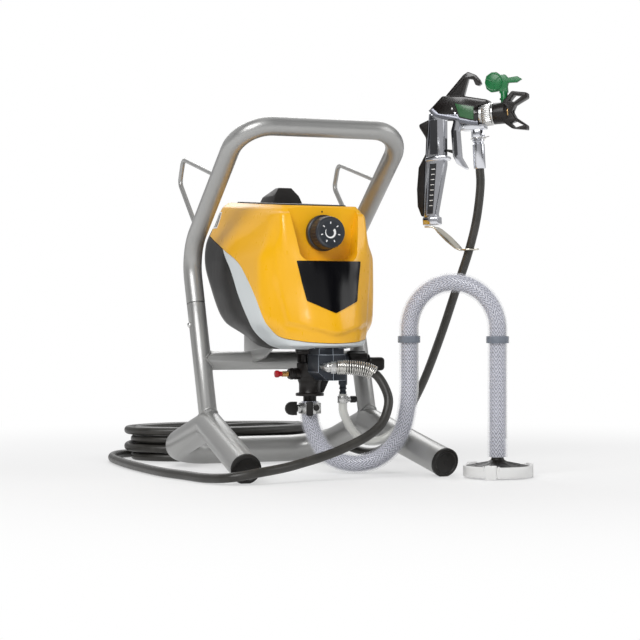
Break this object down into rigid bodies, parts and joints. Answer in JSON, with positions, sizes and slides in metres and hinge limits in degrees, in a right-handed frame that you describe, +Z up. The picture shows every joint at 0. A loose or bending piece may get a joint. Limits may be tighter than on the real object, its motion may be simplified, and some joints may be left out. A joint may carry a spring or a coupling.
{
  "type": "airless paint sprayer",
  "caption": "Electric airless paint sprayer on a bent-tube stand with a moulded housing, piston pump, suction hose with filter, coiled pressure hose and hand spray gun",
  "frame": {"origin": "on the floor, under the middle of the machine's box without its free hoses", "axes": "+Z up, -Y the machine's front with the pressure knob, +X the machine's left-to-right as seen from the front"},
  "size_m": [0.5116, 0.6441, 0.5498],
  "materials": {
    "silver_paint": "satin metallic paint",
    "black_plastic": "fine texture",
    "yellow_plastic": "semi-gloss",
    "trim_grey": "satin",
    "shell_grey": "satin",
    "slate_paint": "satin",
    "steel": "zinc plated",
    "chrome": "polished",
    "red_plastic": "smooth",
    "hose_rubber": "satin",
    "clear_hose": "translucent, braided",
    "white_plastic": "smooth",
    "green_plastic": "smooth",
    "circuit_board": "board with parts",
    "copper": "windings and steel"
  },
  "bodies": {
    "machine": {"rear_floor_tube": "silver_paint", "front_leg_left": "silver_paint", "front_leg_right": "silver_paint", "foot_cap_left": "black_plastic", "foot_cap_right": "black_plastic", "lower_upright_left": "silver_paint", "lower_upright_right": "silver_paint", "crossbar": "silver_paint", "handle_frame": "silver_paint", "hose_hanger_left": "silver_paint", "hose_hanger_right": "silver_paint", "front_cover": "yellow_plastic", "side_trim": "trim_grey", "rear_housing": "shell_grey", "top_cover": "shell_grey", "badge_panel": "black_plastic", "cable_gland": "black_plastic", "control_board": "circuit_board", "gearbox_plate": "steel", "motor_can": "steel", "pump_block": "slate_paint", "inlet_valve_body": "black_plastic", "outlet_fitting": "steel", "relief_valve_body": "slate_paint", "suction_clamp": "steel", "return_clamp": "steel", "pressure_hose_coil": "hose_rubber", "pressure_hose_pump_run": "hose_rubber", "pressure_hose_gun_run": "hose_rubber", "hose_bend_guard": "steel", "suction_hose": "clear_hose", "return_tube": "clear_hose", "tube_clip_left": "trim_grey", "tube_clip_right": "trim_grey", "filter_body": "black_plastic", "filter_ring": "white_plastic", "gun_head": "black_plastic", "gun_side_panel": "green_plastic", "gun_handle": "chrome", "gun_grip": "black_plastic", "fluid_fitting": "steel", "hose_strap": "steel"},
    "knob": {"pressure_knob": "shell_grey"},
    "relief": {"relief_knob": "black_plastic"},
    "pusher": {"inlet_pusher": "red_plastic"},
    "snap_left": {"snap_button_left": "steel"},
    "snap_right": {"snap_button_right": "steel"},
    "suction_screw": {"suction_clamp_screw": "black_plastic"},
    "return_screw": {"return_clamp_screw": "black_plastic"},
    "trigger_body": {"trigger": "chrome"},
    "lock": {"trigger_lock": "black_plastic"},
    "nut": {"retaining_nut": "steel"},
    "guard": {"tip_guard": "black_plastic"},
    "tip": {"spray_tip": "green_plastic"},
    "gear": {"drive_gear": "steel"},
    "armature": {"motor_armature": "copper", "cooling_fan": "black_plastic"},
    "piston": {"plunger": "steel"}
  },
  "joints": [
    {"name": "pressure_knob_turn", "type": "hinge", "parent": "machine", "child": "knob", "pos_m": [-0.07224, -0.09897, 0.3205], "axis": [0, 1, 0], "range_deg": [0, 300]},
    {"name": "relief_knob_turn", "type": "hinge", "parent": "machine", "child": "relief", "pos_m": [-0.03244, -0.09167, 0.153], "axis": [1, 0, 0], "range_deg": [0, 90]},
    {"name": "inlet_pusher_press", "type": "slide", "parent": "machine", "child": "pusher", "axis": [1, 0, 0], "range_m": [0, 0.004], "stiffness_N_per_m": 300, "springref_m": -0.001},
    {"name": "snap_button_left_press", "type": "slide", "parent": "machine", "child": "snap_left", "axis": [1, 0, 0], "range_m": [0, 0.005], "stiffness_N_per_m": 300, "springref_m": -0.001},
    {"name": "snap_button_right_press", "type": "slide", "parent": "machine", "child": "snap_right", "axis": [-1, 0, 0], "range_m": [0, 0.005], "stiffness_N_per_m": 300, "springref_m": -0.001},
    {"name": "suction_clamp_screw_turn", "type": "hinge", "parent": "machine", "child": "suction_screw", "pos_m": [-0.09169, -0.05867, 0.0876], "axis": [1, 0, 0], "continuous": true},
    {"name": "return_clamp_screw_turn", "type": "hinge", "parent": "machine", "child": "return_screw", "pos_m": [-0.02844, -0.09467, 0.1], "axis": [1, 0, 0], "continuous": true},
    {"name": "trigger_pull", "type": "hinge", "parent": "machine", "child": "trigger_body", "pos_m": [0.15435, -0.05104, 0.49148], "axis": [0.6944, 0.7196, 0], "range_deg": [0, 6], "stiffness_Nm_per_rad": 2, "springref_deg": -5.73},
    {"name": "trigger_lock_turn", "type": "hinge", "parent": "trigger_body", "child": "lock", "pos_m": [0.15381, -0.05052, 0.43887], "axis": [0.6944, 0.7196, 0], "range_deg": [0, 75]},
    {"name": "retaining_nut_turn", "type": "hinge", "parent": "machine", "child": "nut", "pos_m": [0.17891, -0.07475, 0.48966], "axis": [0.7186, -0.6935, 0.0523], "continuous": true},
    {"name": "tip_guard_turn", "type": "hinge", "parent": "machine", "child": "guard", "pos_m": [0.19364, -0.08896, 0.49073], "axis": [0.7186, -0.6935, 0.0523], "range_deg": [-90, 90]},
    {"name": "spray_tip_turn", "type": "hinge", "parent": "guard", "child": "tip", "pos_m": [0.20406, -0.09902, 0.49149], "axis": [-0.0377, 0.0363, 0.9986], "range_deg": [0, 180]},
    {"name": "drive_gear_spin", "type": "hinge", "parent": "machine", "child": "gear", "pos_m": [-0.07224, -0.04367, 0.2347], "axis": [0, 1, 0], "continuous": true},
    {"name": "armature_spin", "type": "hinge", "parent": "machine", "child": "armature", "pos_m": [-0.07224, -0.03467, 0.275], "axis": [0, 1, 0], "continuous": true},
    {"name": "plunger_stroke", "type": "slide", "parent": "machine", "child": "piston", "axis": [0, 0, 1], "range_m": [-0.006, 0.006]}
  ],
  "couplings": [
    {"joint": "armature_spin", "follows": "drive_gear_spin", "ratio": -4}
  ]
}
